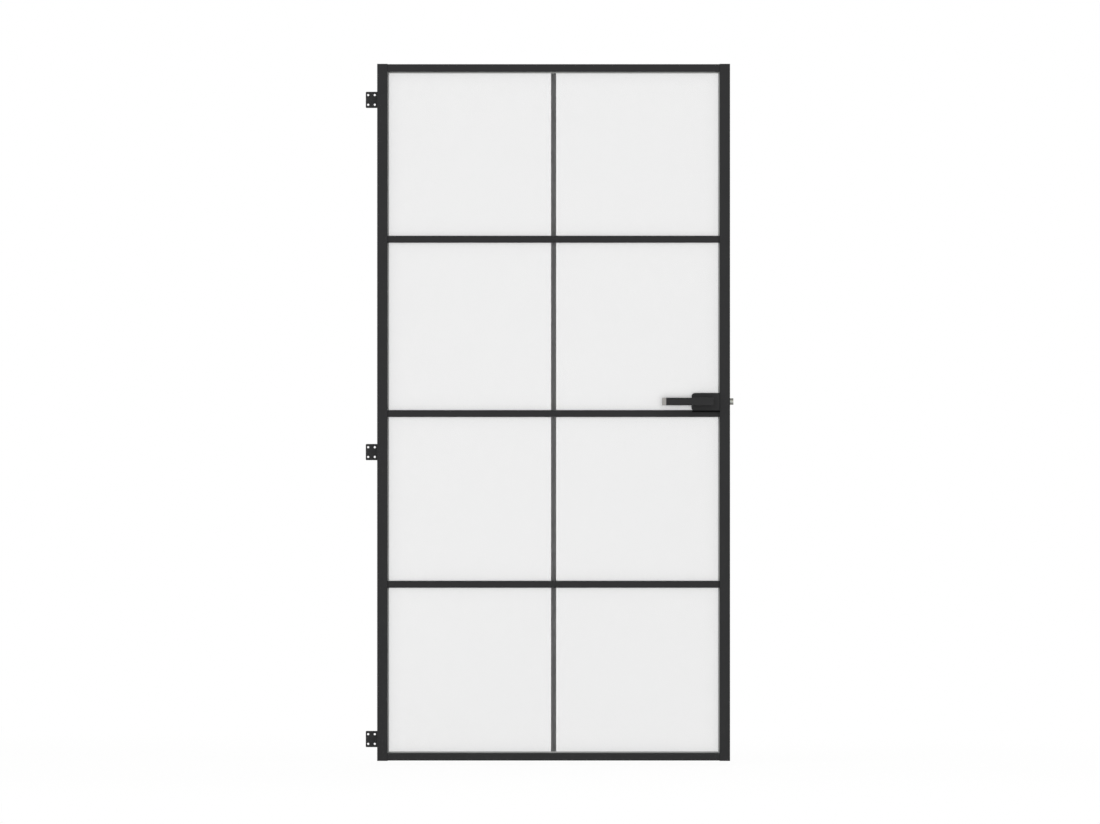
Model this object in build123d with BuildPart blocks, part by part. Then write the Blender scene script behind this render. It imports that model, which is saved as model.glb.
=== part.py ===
from build123d import *
import math
import os

# Framed glass door leaf: slim aluminium extrusions, four etched panes, three surface hinges and a
# lever lock. All lengths are millimetres and +Z is up. The origin is the middle of the bottom
# hinge's four wall holes, on the mounting face of that wall leaf. +X runs along the leaf towards
# the latch, and +Y points to the side that the leaf opens to.

# Leaf and frame extrusions
leaf_width = 1020.0
leaf_height = 2015.0
frame_depth = 36.0
stile_face = 30.0
rail_face = 22.0
rail_setback = 0.5
profile_wall = 1.6
profile_edge = 0.8
joint_edge = 0.6
cap_thickness = 1.0
cap_leg_length = 12.0
cap_leg_wall = 2.0

# Glazing: panes, gaskets, crossbars and upright divider strips
glass_thickness = 5.0
glass_bite = 9.0
gasket_wall = 1.5
gasket_reveal = 4.0
gasket_lip_edge = 0.5
bar_face = 20.0
bar_depth = 26.0
bar_web = 6.0
bar_height_shares = (0.2533, 0.4983, 0.7484)
strip_width = 14.5
strip_thickness = 2.0
strip_edge = 0.6
strip_bond = 0.2
strip_end_gap = 0.3

# Frame screws, which pass through a stile into the end of a rail or crossbar
frame_screw_radius = 2.0
frame_screw_length = 34.0
frame_screw_head_radius = 4.2
frame_screw_head = 2.8
access_hole_radius = 5.0

# Hinges
bottom_hinge_rise = 62.5
top_hinge_drop = 103.5
middle_hinge_share = 0.443
hinge_height = 47.0
hinge_plate = 2.5
hinge_reach = 33.4
hinge_corner = 3.0
wall_hole_radius = 3.0
wall_countersink_radius = 4.6
wall_hole_margin = 7.0
wall_hole_pitch = 19.0
hole_row_pitch = 28.0
hinge_axis_inset = 5.6
knuckle_radius = 5.0
knuckle_height = 16.0
knuckle_gap = 0.5
pin_radius = 2.5
pin_head_radius = 3.8
pin_head = 1.8
pin_head_edge = 0.9
washer_radius = 4.8
washer_thickness = 0.8
washer_play = 0.1
door_plate_margin = 1.5
door_hole_margin = 4.6
door_hole_pitch = 8.5
hinge_screw_radius = 2.0
hinge_screw_head_radius = 3.6
hinge_screw_length = 11.0

# Lock case: two covers that clamp the glass corner, with a chassis between them
case_width = 81.0
case_height = 49.5
case_depth = 43.0
case_wall = 2.5
case_corner = 10.0
case_edge = 2.2
case_gap = 0.1
case_lap = 3.0
pad_thickness = 0.8
pad_inset = 0.6
pad_width = 6.0
notch_corner = 6.0
notch_gap = 0.5
boss_radius = 4.0
boss_split = 0.6
boss_spacing = 30.0
post_radius = 3.0
case_screw_radius = 2.0
case_screw_head_radius = 3.6
case_screw_length = 34.0
chassis_depth = 18.0
chassis_wall = 1.5
chassis_gap = 0.5

# Latch, follower and spring
backset = 59.0
latch_height = 19.0
latch_depth = 12.0
latch_throw = 10.0
latch_nose = 3.0
latch_bevel_start = 0.8
latch_gap = 0.2
latch_hole_gap = 0.8
insert_height = 6.4
insert_length = 17.0
guide_wall = 1.2
guide_length = 9.0
follower_radius = 9.0
follower_gap = 0.3
journal_radius = 7.5
arm_reach = 13.75
arm_width = 4.0
arm_tip_radius = 2.5
arm_depth = 5.0
slot_gap = 0.6
tail_depth = 6.0
tail_gap = 2.0
tail_height = 8.0
tail_end = 3.0
riser_width = 6.0
spring_radius = 2.6
spring_wire_radius = 0.4
spring_length = 30.0
spring_turns = 9
spring_wire_sides = 6

# Levers
spindle_size = 8.0
spindle_gap = 0.05
spindle_end_gap = 0.5
neck_radius = 9.0
neck_inside = 1.0
neck_blend = 1.2
lever_standoff = 27.0
lever_height = 22.0
lever_thickness = 10.0
lever_reach = 138.0
lever_heel = 11.0
lever_edge = 1.2
tip_length = 12.0
spigot_length = 8.0
spigot_wall = 2.6
socket_floor = 5.0
bush_radius = 11.0
bush_flange_radius = 13.0
bush_flange = 1.2
bush_flange_edge = 0.4
bush_inside = 0.8
grub_radius = 2.5
grub_sink = 0.4

# Clearances and the countersink that every piece shares
seat_gap = 0.05
running_gap = 0.05
cut_overrun = 2.0
countersink_angle = 90.0

# Places worked out from the sizes above
leaf_left = hinge_reach - wall_hole_margin - wall_hole_pitch / 2
leaf_right = leaf_left + leaf_width
leaf_bottom = -bottom_hinge_rise
leaf_top = leaf_bottom + leaf_height
leaf_back = -knuckle_gap
leaf_mid = leaf_back - frame_depth / 2
opening_left = leaf_left + stile_face
opening_right = leaf_right - stile_face
opening_width = opening_right - opening_left
opening_centre = (opening_left + opening_right) / 2

profile_bottom = leaf_bottom + cap_thickness
profile_top = leaf_top - cap_thickness
profile_length = profile_top - profile_bottom
rail_depth = frame_depth - 2 * rail_setback
channel_width = glass_thickness + 2 * gasket_wall
channel_depth = glass_bite + gasket_wall
stile_chamber = stile_face - channel_depth - 2 * profile_wall
rail_chamber = rail_face - channel_depth - 2 * profile_wall
bar_slot = (bar_face - bar_web) / 2
bar_bite = bar_slot - gasket_wall
bar_flange = (bar_depth - channel_width) / 2

bar_z = [leaf_bottom + share * leaf_height for share in bar_height_shares]
rail_port_inset = profile_wall + rail_chamber / 2
joint_z = [profile_bottom + rail_port_inset, *bar_z, profile_top - rail_port_inset]
frame_screw_seat = stile_face - channel_depth - profile_wall

hinge_axis_x = leaf_left + hinge_axis_inset
hinge_axis_y = knuckle_radius
knuckle_space = knuckle_height + 2 * (washer_thickness + washer_play)
middle_hinge_z = leaf_bottom + middle_hinge_share * leaf_height
hinge_z = {"bottom": 0, "middle": middle_hinge_z, "top": leaf_top - top_hinge_drop}
door_plate_left = hinge_axis_x + knuckle_radius + knuckle_gap
door_plate_right = opening_left - door_plate_margin
door_hole_x = door_plate_right - door_hole_margin - door_hole_pitch / 2
door_plate_back = leaf_back + hinge_plate

case_right = opening_right - case_gap
case_left = case_right - case_width
case_bottom = bar_z[1] + bar_face / 2 + case_gap
case_top = case_bottom + case_height
spindle_x = leaf_right - backset
lock_z = (case_bottom + case_top) / 2
cover_rim = glass_thickness / 2 + pad_thickness
case_face = case_depth / 2

tail_bottom = follower_radius + tail_gap
tail_top = tail_bottom + tail_height
tail_left = -(arm_tip_radius + slot_gap + tail_end)
latch_back = follower_radius + tail_gap + latch_throw
spring_drop = follower_radius + tail_gap + spring_radius + spring_wire_radius
riser_bottom = -(spring_drop + spring_radius + 2 * spring_wire_radius)
chassis_height = case_height - 2 * case_wall - 2 * chassis_gap
chassis_right = case_right - spindle_x
chassis_left = tail_left - latch_throw - chassis_gap - chassis_wall
chassis_width = chassis_right - chassis_left
chassis_centre = (chassis_left + chassis_right) / 2
chassis_face = chassis_depth / 2
boss_x = chassis_left - chassis_gap - boss_radius
notch_left = boss_x - boss_radius - notch_gap
notch_top = chassis_height / 2 + notch_gap
lever_back = case_face + lever_standoff
neck_end = case_face - case_wall - neck_inside
socket_end = lever_back + lever_thickness - socket_floor


def keep(piece, name):
    """Label a finished piece and write it to a file of its own."""
    piece.part.label = name
    export_step(piece.part, f"parts/{name}.step")


def hinge_hole_planes(x, y, pitch, heights):
    """Planes facing +Y at the four holes of each hinge plate."""
    columns = (x - pitch / 2, x + pitch / 2)
    rows = [z + side * hole_row_pitch / 2 for z in heights for side in (-1, 1)]
    return [Plane((column, y, row), z_dir=(0, 1, 0)) for column in columns for row in rows]


def lock_plane(distance, side):
    """Plane on the spindle's axis, facing away from the glass, at a distance from its middle."""
    return Plane((spindle_x, leaf_mid + side * distance, lock_z), x_dir=(1, 0, 0), z_dir=(0, side, 0))


def outward(side):
    """Axis that points away from the glass, to choose faces by."""
    return Axis((0, 0, 0), (0, side, 0))


def outer_edge_planes(outer_x, inward):
    """Planes on a stile's outer edge, facing out, at the end of each rail and crossbar."""
    return [Plane((outer_x, leaf_mid, z), z_dir=(-inward, 0, 0)) for z in joint_z]


# Stiles: hollow extrusions with a glazing channel in the inner face
def stile(outer_x, inward):
    """A stile whose outer edge is at outer_x and whose channel faces along inward."""
    centre_x = outer_x + inward * stile_face / 2
    channel_x = outer_x + inward * (stile_face - channel_depth / 2)
    with BuildPart() as piece:
        with BuildSketch(Plane.XY.offset(profile_bottom)):
            with Locations((centre_x, leaf_mid)):
                RectangleRounded(stile_face, frame_depth, profile_edge)
            with Locations((channel_x, leaf_mid)):
                Rectangle(channel_depth, channel_width, mode=Mode.SUBTRACT)
        extrude(amount=profile_length)
        with BuildSketch(Plane.XY.offset(profile_bottom)):
            with Locations((centre_x, leaf_mid)):
                Rectangle(stile_face - 2 * profile_wall, frame_depth - 2 * profile_wall)
            with Locations((channel_x, leaf_mid)):
                Rectangle(
                    channel_depth + 2 * profile_wall,
                    channel_width + 2 * profile_wall,
                    mode=Mode.SUBTRACT,
                )
        extrude(amount=profile_length, mode=Mode.SUBTRACT)
        with Locations(*outer_edge_planes(outer_x, inward)):
            Hole(access_hole_radius, depth=2 * profile_wall)
            Hole(frame_screw_radius + seat_gap, depth=stile_face - channel_depth + profile_wall)
    return piece


def hinge_stile():
    """The stile that carries the hinge leaves on its rear face."""
    piece = stile(leaf_left, 1)
    with BuildPart() as drilled:
        add(piece.part)
        with Locations(*hinge_hole_planes(door_hole_x, leaf_back, door_hole_pitch, hinge_z.values())):
            Hole(hinge_screw_radius + seat_gap, depth=2 * profile_wall)
    return drilled


def lock_stile():
    """The stile that the latch bolt passes through."""
    piece = stile(leaf_right, -1)
    guide_depth = latch_depth + 2 * (latch_gap + guide_wall + seat_gap)
    guide_height = latch_height + 2 * (latch_gap + guide_wall + seat_gap)
    with BuildPart() as slotted:
        add(piece.part)
        with BuildSketch(Plane.YZ.offset(leaf_right - guide_length)):
            with Locations((leaf_mid, lock_z)):
                Rectangle(guide_depth, guide_height)
        extrude(amount=guide_length, mode=Mode.SUBTRACT)
        with BuildSketch(Plane.YZ.offset(opening_right)):
            with Locations((leaf_mid, lock_z)):
                Rectangle(latch_depth + 2 * latch_hole_gap, latch_height + 2 * latch_hole_gap)
        extrude(amount=stile_face - guide_length, mode=Mode.SUBTRACT)
    return slotted


# Rails: hollow extrusions butted between the stiles, with a round port for the frame screws
def rail(outer_z, inward):
    """A rail whose outer face is at outer_z and whose channel faces along inward.

    Its ends are bevelled, which draws a fine line at each joint.
    """
    centre_z = outer_z + inward * rail_face / 2
    channel_z = outer_z + inward * (rail_face - channel_depth / 2)
    port_z = outer_z + inward * rail_port_inset
    plane = Plane.YZ.offset(opening_left)
    with BuildPart() as piece:
        with BuildSketch(plane):
            with Locations((leaf_mid, centre_z)):
                RectangleRounded(rail_depth, rail_face, profile_edge)
            with Locations((leaf_mid, channel_z)):
                Rectangle(channel_width, channel_depth, mode=Mode.SUBTRACT)
        extrude(amount=opening_width)
        uprights = piece.edges().filter_by(Axis.Z).group_by(Axis.Y)
        chamfer(uprights[0] + uprights[-1], joint_edge)
        with BuildSketch(plane):
            with Locations((leaf_mid, centre_z)):
                Rectangle(rail_depth - 2 * profile_wall, rail_face - 2 * profile_wall)
            with Locations((leaf_mid, channel_z)):
                Rectangle(
                    channel_width + 2 * profile_wall,
                    channel_depth + 2 * profile_wall,
                    mode=Mode.SUBTRACT,
                )
        extrude(amount=opening_width, mode=Mode.SUBTRACT)
        with BuildSketch(plane):
            with Locations((leaf_mid, port_z)):
                Circle(rail_chamber / 2 + profile_wall / 2)
                Circle(frame_screw_radius + seat_gap, mode=Mode.SUBTRACT)
        extrude(amount=opening_width)
    return piece


# Crossbars: H-sections with hollow flanges, a glazing slot above and below and a screw port
def crossbar(centre_z):
    """A crossbar at a height, between the stiles."""
    plane = Plane.YZ.offset(opening_left)
    with BuildPart() as piece:
        with BuildSketch(plane):
            with Locations((leaf_mid, centre_z)):
                RectangleRounded(bar_depth, bar_face, profile_edge)
                Circle(frame_screw_radius + seat_gap, mode=Mode.SUBTRACT)
                with GridLocations(0, bar_face - bar_slot, 1, 2):
                    Rectangle(channel_width, bar_slot, mode=Mode.SUBTRACT)
                with GridLocations(bar_depth - bar_flange, 0, 2, 1):
                    Rectangle(
                        bar_flange - 2 * profile_wall,
                        bar_face - 2 * profile_wall,
                        mode=Mode.SUBTRACT,
                    )
        extrude(amount=opening_width)
    return piece


# End caps: moulded plates that close the stiles, with two legs inside the chamber
def end_cap(outer_x, inward, face_z, up):
    """A cap on the stile end at face_z, where up is 1 at the top and -1 at the bottom."""
    chamber_x = outer_x + inward * (profile_wall + stile_chamber / 2)
    leg_pitch = frame_depth - 2 * (profile_wall + seat_gap) - cap_leg_wall
    with BuildPart() as piece:
        with BuildSketch(Plane.XY.offset(face_z)):
            with Locations((outer_x + inward * stile_face / 2, leaf_mid)):
                RectangleRounded(stile_face, frame_depth, profile_edge)
        extrude(amount=up * cap_thickness)
        with BuildSketch(Plane.XY.offset(face_z)):
            with Locations((chamber_x, leaf_mid)):
                with GridLocations(0, leg_pitch, 1, 2):
                    Rectangle(stile_chamber - 2 * seat_gap, cap_leg_wall)
        extrude(amount=-up * cap_leg_length)
    return piece


# Rows of glass: each pane's edges, its gasket's lips and its divider strip follow its row
row_names = ("lower", "lower_middle", "upper_middle", "upper")
row_bottoms = [profile_bottom + rail_face, *[z + bar_face / 2 for z in bar_z]]
row_tops = [*[z - bar_face / 2 for z in bar_z], profile_top - rail_face]
lock_row = row_names.index("upper_middle")


def row_edges(row):
    """Bottom and top edge of the glass in a row, and the lips of its gasket there."""
    first = row == 0
    last = row == len(row_names) - 1
    glass_bottom = row_bottoms[row] - (glass_bite if first else bar_bite)
    glass_top = row_tops[row] + (glass_bite if last else bar_bite)
    lip_bottom = row_bottoms[row] + (gasket_reveal if first else 0)
    lip_top = row_tops[row] - (gasket_reveal if last else 0)
    return glass_bottom, glass_top, lip_bottom, lip_top


def upright_plane(y):
    """Plane facing the front, with X and Z in its own plane, at a depth y."""
    return Plane((0, y, 0), x_dir=(1, 0, 0), z_dir=(0, -1, 0))


def pane(row):
    """One etched glass pane, with its corner cut away at the lock."""
    bottom, top, _, _ = row_edges(row)
    width = opening_width + 2 * glass_bite
    right = opening_right + glass_bite
    with BuildPart() as piece:
        with BuildSketch(upright_plane(leaf_mid)) as outline:
            with Locations((opening_centre, (bottom + top) / 2)):
                Rectangle(width, top - bottom)
            if row == lock_row:
                cut_left = spindle_x + notch_left
                cut_top = lock_z + notch_top
                with Locations((right, bottom)):
                    Rectangle(2 * (right - cut_left), 2 * (cut_top - bottom), mode=Mode.SUBTRACT)
                inner = outline.vertices().sort_by_distance((cut_left, cut_top))[0]
                fillet(inner, notch_corner)
        extrude(amount=glass_thickness / 2, both=True)
    return piece


def gasket(row):
    """Grey U-section gasket round a pane, left open where the lock clamps the glass."""
    bottom, top, lip_bottom, lip_top = row_edges(row)
    middle = (bottom + top) / 2
    glass_width = opening_width + 2 * glass_bite
    with BuildPart() as piece:
        with BuildSketch(upright_plane(leaf_mid)):
            with Locations((opening_centre, middle)):
                Rectangle(glass_width + 2 * gasket_wall, top - bottom + 2 * gasket_wall)
            with Locations((opening_centre, (lip_bottom + lip_top) / 2)):
                Rectangle(opening_width - 2 * gasket_reveal, lip_top - lip_bottom, mode=Mode.SUBTRACT)
        extrude(amount=channel_width / 2, both=True)
        flat_edges = piece.faces().filter_by(Axis.Y).edges()
        lips = flat_edges.filter_by_position(Axis.X, opening_left, opening_right)
        fillet(lips.filter_by_position(Axis.Z, lip_bottom, lip_top), gasket_lip_edge)
        with BuildSketch(upright_plane(leaf_mid)):
            with Locations((opening_centre, middle)):
                Rectangle(glass_width, top - bottom)
        extrude(amount=glass_thickness / 2, both=True, mode=Mode.SUBTRACT)
        if row == lock_row:
            corner_x = opening_right + channel_depth
            corner_z = bottom - gasket_wall
            cut_width = corner_x - case_left + case_gap
            cut_height = case_top + case_gap - corner_z
            with BuildSketch(upright_plane(leaf_mid)):
                with Locations((corner_x, corner_z)):
                    Rectangle(2 * cut_width, 2 * cut_height)
            extrude(amount=channel_width, both=True, mode=Mode.SUBTRACT)
    return piece


def divider_strip(row):
    """Flat upright strip bonded to the rear face of a pane, between the bars."""
    _, _, lip_bottom, lip_top = row_edges(row)
    with BuildPart() as piece:
        with BuildSketch(upright_plane(leaf_mid + glass_thickness / 2 + strip_bond)):
            with Locations((opening_centre, (lip_bottom + lip_top) / 2)):
                Rectangle(strip_width, lip_top - lip_bottom - 2 * strip_end_gap)
        extrude(amount=-strip_thickness)
        rear_edges = piece.faces().sort_by(Axis.Y)[-1].edges().filter_by(Axis.Z)
        fillet(rear_edges, strip_edge)
    return piece


# Frame screws: one at each end of each rail and crossbar, its head on the stile's inner web
def frame_screws():
    """All the screws that draw the rails and crossbars against the stiles."""
    seats = []
    for outer_x, inward in ((leaf_left, 1), (leaf_right, -1)):
        seat_x = outer_x + inward * frame_screw_seat
        seats += [Plane((seat_x, leaf_mid, z), z_dir=(-inward, 0, 0)) for z in joint_z]
    with BuildPart() as piece:
        with Locations(*seats):
            Cylinder(frame_screw_head_radius, frame_screw_head, align=(Align.CENTER, Align.CENTER, Align.MIN))
            Cylinder(frame_screw_radius, frame_screw_length, align=(Align.CENTER, Align.CENTER, Align.MAX))
    return piece


# Hinges: a wall leaf with two knuckles, a door leaf with one between them, and a pin
def wall_leaf(centre_z):
    """The fixed leaf, whose plate shows beyond the stile, with four countersunk holes."""
    plate_left = leaf_left - hinge_reach
    with BuildPart() as piece:
        with BuildSketch(upright_plane(0)):
            with Locations(((plate_left + hinge_axis_x) / 2, centre_z)):
                Rectangle(hinge_axis_x - plate_left, hinge_height)
        extrude(amount=-hinge_plate)
        fillet(piece.edges().filter_by(Axis.Y).group_by(Axis.X)[0], hinge_corner)
        with BuildSketch(Plane.XY.offset(centre_z - hinge_height / 2)):
            with Locations((hinge_axis_x, hinge_axis_y)):
                Circle(knuckle_radius)
        extrude(amount=hinge_height)
        with Locations((hinge_axis_x, hinge_axis_y, centre_z)):
            knuckle_box = 2 * (knuckle_radius + knuckle_gap)
            Box(knuckle_box, knuckle_box, knuckle_space, mode=Mode.SUBTRACT)
            Hole(pin_radius + seat_gap)
        with Locations(*hinge_hole_planes(0, hinge_plate, wall_hole_pitch, [centre_z])):
            CounterSinkHole(wall_hole_radius, wall_countersink_radius, counter_sink_angle=countersink_angle)
    return piece


def door_leaf(centre_z):
    """The moving leaf, screwed to the stile's rear face, with the middle knuckle."""
    with BuildPart() as piece:
        with BuildSketch(upright_plane(leaf_back)):
            with Locations(((door_plate_left + door_plate_right) / 2, centre_z)):
                Rectangle(door_plate_right - door_plate_left, hinge_height)
        extrude(amount=-hinge_plate)
        fillet(piece.edges().filter_by(Axis.Y).group_by(Axis.X)[-1], hinge_corner)
        with BuildSketch(Plane.XY.offset(centre_z - knuckle_height / 2)):
            with Locations((hinge_axis_x, hinge_axis_y)):
                Circle(knuckle_radius)
            with Locations(((hinge_axis_x + door_plate_left) / 2, (leaf_back + door_plate_back) / 2)):
                Rectangle(door_plate_left - hinge_axis_x, hinge_plate)
        extrude(amount=knuckle_height)
        with Locations((hinge_axis_x, hinge_axis_y, centre_z)):
            Hole(pin_radius + running_gap)
        with Locations(*hinge_hole_planes(door_hole_x, door_plate_back, door_hole_pitch, [centre_z])):
            CounterSinkHole(
                hinge_screw_radius + seat_gap,
                hinge_screw_head_radius,
                counter_sink_angle=countersink_angle,
            )
    return piece


def hinge_pin(centre_z):
    """A headed pin through all three knuckles."""
    top = centre_z + hinge_height / 2
    with BuildPart() as piece:
        with Locations((hinge_axis_x, hinge_axis_y, top)):
            Cylinder(pin_radius, hinge_height, align=(Align.CENTER, Align.CENTER, Align.MAX))
            Cylinder(pin_head_radius, pin_head, align=(Align.CENTER, Align.CENTER, Align.MIN))
        chamfer(piece.edges().group_by(Axis.Z)[-1], pin_head_edge)
    return piece


def hinge_washers():
    """Two thin washers in each hinge, above and below the middle knuckle."""
    offset_z = knuckle_space / 2 - washer_thickness / 2
    places = [(hinge_axis_x, hinge_axis_y, z + side * offset_z) for z in hinge_z.values() for side in (-1, 1)]
    with BuildPart() as piece:
        with Locations(*places):
            Cylinder(washer_radius, washer_thickness)
            Cylinder(pin_radius + seat_gap, washer_thickness, mode=Mode.SUBTRACT)
    return piece


def countersunk_screws(planes, radius, head_radius, length):
    """Screws with flush heads, one on each plane, running in against its normal."""
    inward = (Align.CENTER, Align.CENTER, Align.MAX)
    head = (head_radius - radius) / math.tan(math.radians(countersink_angle / 2))
    with BuildPart() as piece:
        with Locations(*planes):
            Cylinder(radius, length, align=inward)
            Cone(radius, head_radius, head, align=inward)
    return piece


# Lock covers: two shells, open at the glass and at the stile, that clamp the glass between pads
def lock_cover(side):
    """The front (-1) or rear (1) half of the lock case, which laps over the crossbar's face."""
    centre = (case_left + case_right) / 2 - spindle_x
    hollow_left = case_left + case_wall - spindle_x
    hollow_right = case_right + cut_overrun - spindle_x
    rim = lock_plane(cover_rim, side)
    boss_places = [(boss_x, boss_spacing / 2), (boss_x, -boss_spacing / 2)]
    with BuildPart() as piece:
        with BuildSketch(rim) as outline:
            with Locations((centre, 0)):
                Rectangle(case_width, case_height)
            fillet(outline.vertices().group_by(Axis.X)[0], case_corner)
        extrude(amount=case_face - cover_rim)
        with BuildSketch(lock_plane(bar_depth / 2 + case_gap, side)) as lapped:
            with Locations((centre, side * case_lap / 2)):
                Rectangle(case_width, case_height + case_lap)
            fillet(lapped.vertices().group_by(Axis.X)[0], case_corner)
        extrude(amount=case_face - bar_depth / 2 - case_gap)
        outer_face = piece.faces().sort_by(outward(side))[-1]
        fillet(outer_face.edges().sort_by(Axis.X)[:-1], case_edge)
        with BuildSketch(rim) as hollow:
            with Locations(((hollow_left + hollow_right) / 2, 0)):
                Rectangle(hollow_right - hollow_left, case_height - 2 * case_wall)
            fillet(hollow.vertices().group_by(Axis.X)[0], case_corner - case_wall)
        extrude(amount=case_face - cover_rim - case_wall, mode=Mode.SUBTRACT)
        with BuildSketch(lock_plane(chassis_face, side)):
            with Locations((chassis_centre, 0)):
                post_inset = 4 * post_radius
                with GridLocations(chassis_width - post_inset, chassis_height - post_inset, 2, 2):
                    Circle(post_radius)
        extrude(amount=case_face - case_wall / 2 - chassis_face)
        with BuildSketch(lock_plane(boss_split / 2, side)):
            with Locations(*boss_places):
                Circle(boss_radius)
        extrude(amount=case_face - case_wall / 2 - boss_split / 2)
        with Locations(lock_plane(case_face, side)):
            Hole(bush_radius + seat_gap, depth=2 * case_wall)
        if side > 0:
            with Locations(lock_plane(case_face, side)):
                with Locations(*boss_places):
                    CounterSinkHole(
                        case_screw_radius + seat_gap,
                        case_screw_head_radius,
                        depth=case_face,
                        counter_sink_angle=countersink_angle,
                    )
        else:
            with Locations(lock_plane(boss_split / 2, side)):
                with Locations(*boss_places):
                    Hole(case_screw_radius + seat_gap, depth=case_screw_length - case_face)
    return piece


def lock_pad(side):
    """Soft pad that runs under a cover's rim on the glass, left open at the notch."""
    centre = (case_left + case_right) / 2 - spindle_x
    right = case_right + cut_overrun - spindle_x
    bottom = -case_height / 2 - cut_overrun
    inner_left = case_left + pad_inset + pad_width - spindle_x
    with BuildPart() as piece:
        with BuildSketch(lock_plane(glass_thickness / 2, side)) as outline:
            with Locations((centre, 0)):
                Rectangle(case_width - 2 * pad_inset, case_height - 2 * pad_inset)
            fillet(outline.vertices().group_by(Axis.X)[0], case_corner - pad_inset)
            with Locations(((inner_left + right) / 2, 0)):
                inner_height = case_height - 2 * (pad_inset + pad_width)
                Rectangle(right - inner_left, inner_height, mode=Mode.SUBTRACT)
            with Locations(((notch_left + right) / 2, -side * (notch_top + bottom) / 2)):
                Rectangle(right - notch_left, notch_top - bottom, mode=Mode.SUBTRACT)
        extrude(amount=pad_thickness)
    return piece


# Chassis: an open box in the glass notch, with a bearing for the follower and a spring seat
def lock_chassis():
    """The box that carries the latch, the follower and the spring."""
    inner_height = chassis_height - 2 * chassis_wall
    floor = chassis_face - chassis_wall
    seat_x = latch_back - spring_length - chassis_wall / 2
    seat_top = -follower_radius - tail_gap / 2
    with BuildPart() as piece:
        with BuildSketch(lock_plane(chassis_face, -1)):
            with Locations((chassis_centre, 0)):
                Rectangle(chassis_width, chassis_height)
        extrude(amount=-(chassis_depth - chassis_wall))
        with BuildSketch(lock_plane(floor, -1)):
            with Locations((chassis_centre, 0)):
                Rectangle(chassis_width - 2 * chassis_wall, inner_height)
        extrude(amount=-chassis_depth, mode=Mode.SUBTRACT)
        with BuildSketch(lock_plane(floor, -1)):
            with Locations((seat_x, (seat_top - inner_height / 2) / 2)):
                Rectangle(chassis_wall, seat_top + inner_height / 2)
        extrude(amount=-2 * floor)
        with Locations(lock_plane(chassis_face, -1)):
            Hole(journal_radius + running_gap, depth=2 * chassis_wall)
        with Locations((spindle_x + chassis_right, leaf_mid, lock_z)):
            Box(
                4 * chassis_wall,
                latch_depth + 2 * latch_gap,
                latch_height + 2 * latch_gap,
                mode=Mode.SUBTRACT,
            )
    return piece


def chassis_lid():
    """The plate that closes the chassis from the rear."""
    with BuildPart() as piece:
        with BuildSketch(lock_plane(chassis_face - chassis_wall, 1)):
            with Locations((chassis_centre, 0)):
                Rectangle(chassis_width, chassis_height)
            Circle(journal_radius + running_gap, mode=Mode.SUBTRACT)
        extrude(amount=chassis_wall)
    return piece


# Latch: a bevelled bolt with a riser and a slotted tail that the follower's arm pulls
def nose_outline(start_x):
    """Plan of the bolt from start_x to its bevelled nose, at the spindle's height."""
    front = leaf_mid - latch_depth / 2
    back = leaf_mid + latch_depth / 2
    tip_x = leaf_right + latch_throw
    with BuildSketch(Plane.XY.offset(lock_z)) as outline:
        with BuildLine():
            Polyline(
                (start_x, front),
                (leaf_right + latch_bevel_start, front),
                (tip_x, back - latch_nose),
                (tip_x, back),
                (start_x, back),
                close=True,
            )
        make_face()
    return outline.sketch


def latch_bolt():
    """The bolt, its riser and its tail as one casting."""
    back_x = spindle_x + latch_back
    slot_top = arm_reach + arm_tip_radius + slot_gap
    with BuildPart() as piece:
        extrude(nose_outline(back_x), amount=latch_height / 2, both=True)
        nose = nose_outline(leaf_right + latch_throw - insert_length)
        extrude(nose, amount=insert_height / 2, both=True, mode=Mode.SUBTRACT)
        with BuildSketch(upright_plane(leaf_mid)):
            with Locations((back_x + riser_width / 2, lock_z + (riser_bottom + tail_top) / 2)):
                Rectangle(riser_width, tail_top - riser_bottom)
            tail_centre = spindle_x + (tail_left + latch_back) / 2
            with Locations((tail_centre, lock_z + tail_bottom + tail_height / 2)):
                Rectangle(latch_back - tail_left, tail_height)
            with Locations((spindle_x, lock_z + (tail_bottom + slot_top) / 2)):
                Rectangle(2 * (arm_tip_radius + slot_gap), slot_top - tail_bottom, mode=Mode.SUBTRACT)
        extrude(amount=tail_depth / 2, both=True)
    return piece


def latch_insert():
    """The pale low-friction strip let into the middle of the bolt's nose."""
    with BuildPart() as piece:
        nose = nose_outline(leaf_right + latch_throw - insert_length)
        extrude(nose, amount=insert_height / 2, both=True)
    return piece


def latch_guide():
    """Sleeve in the stile's edge that the bolt slides in."""
    inner_depth = latch_depth + 2 * latch_gap
    inner_height = latch_height + 2 * latch_gap
    with BuildPart() as piece:
        with BuildSketch(Plane.YZ.offset(leaf_right - guide_length)):
            with Locations((leaf_mid, lock_z)):
                Rectangle(inner_depth + 2 * guide_wall, inner_height + 2 * guide_wall)
                Rectangle(inner_depth, inner_height, mode=Mode.SUBTRACT)
        extrude(amount=guide_length)
    return piece


def latch_spring():
    """Coil spring between the chassis seat and the latch riser."""
    start = (spindle_x + latch_back - spring_length + spring_wire_radius, leaf_mid, lock_z - spring_drop)
    height = spring_length - 2 * spring_wire_radius
    with BuildPart() as piece:
        with BuildLine() as coil:
            Helix(height / spring_turns, height, spring_radius, center=start, direction=(1, 0, 0))
        with BuildSketch(Plane(coil.line @ 0, z_dir=coil.line % 0)):
            RegularPolygon(spring_wire_radius, spring_wire_sides)
        sweep(is_frenet=True)
    return piece


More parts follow.
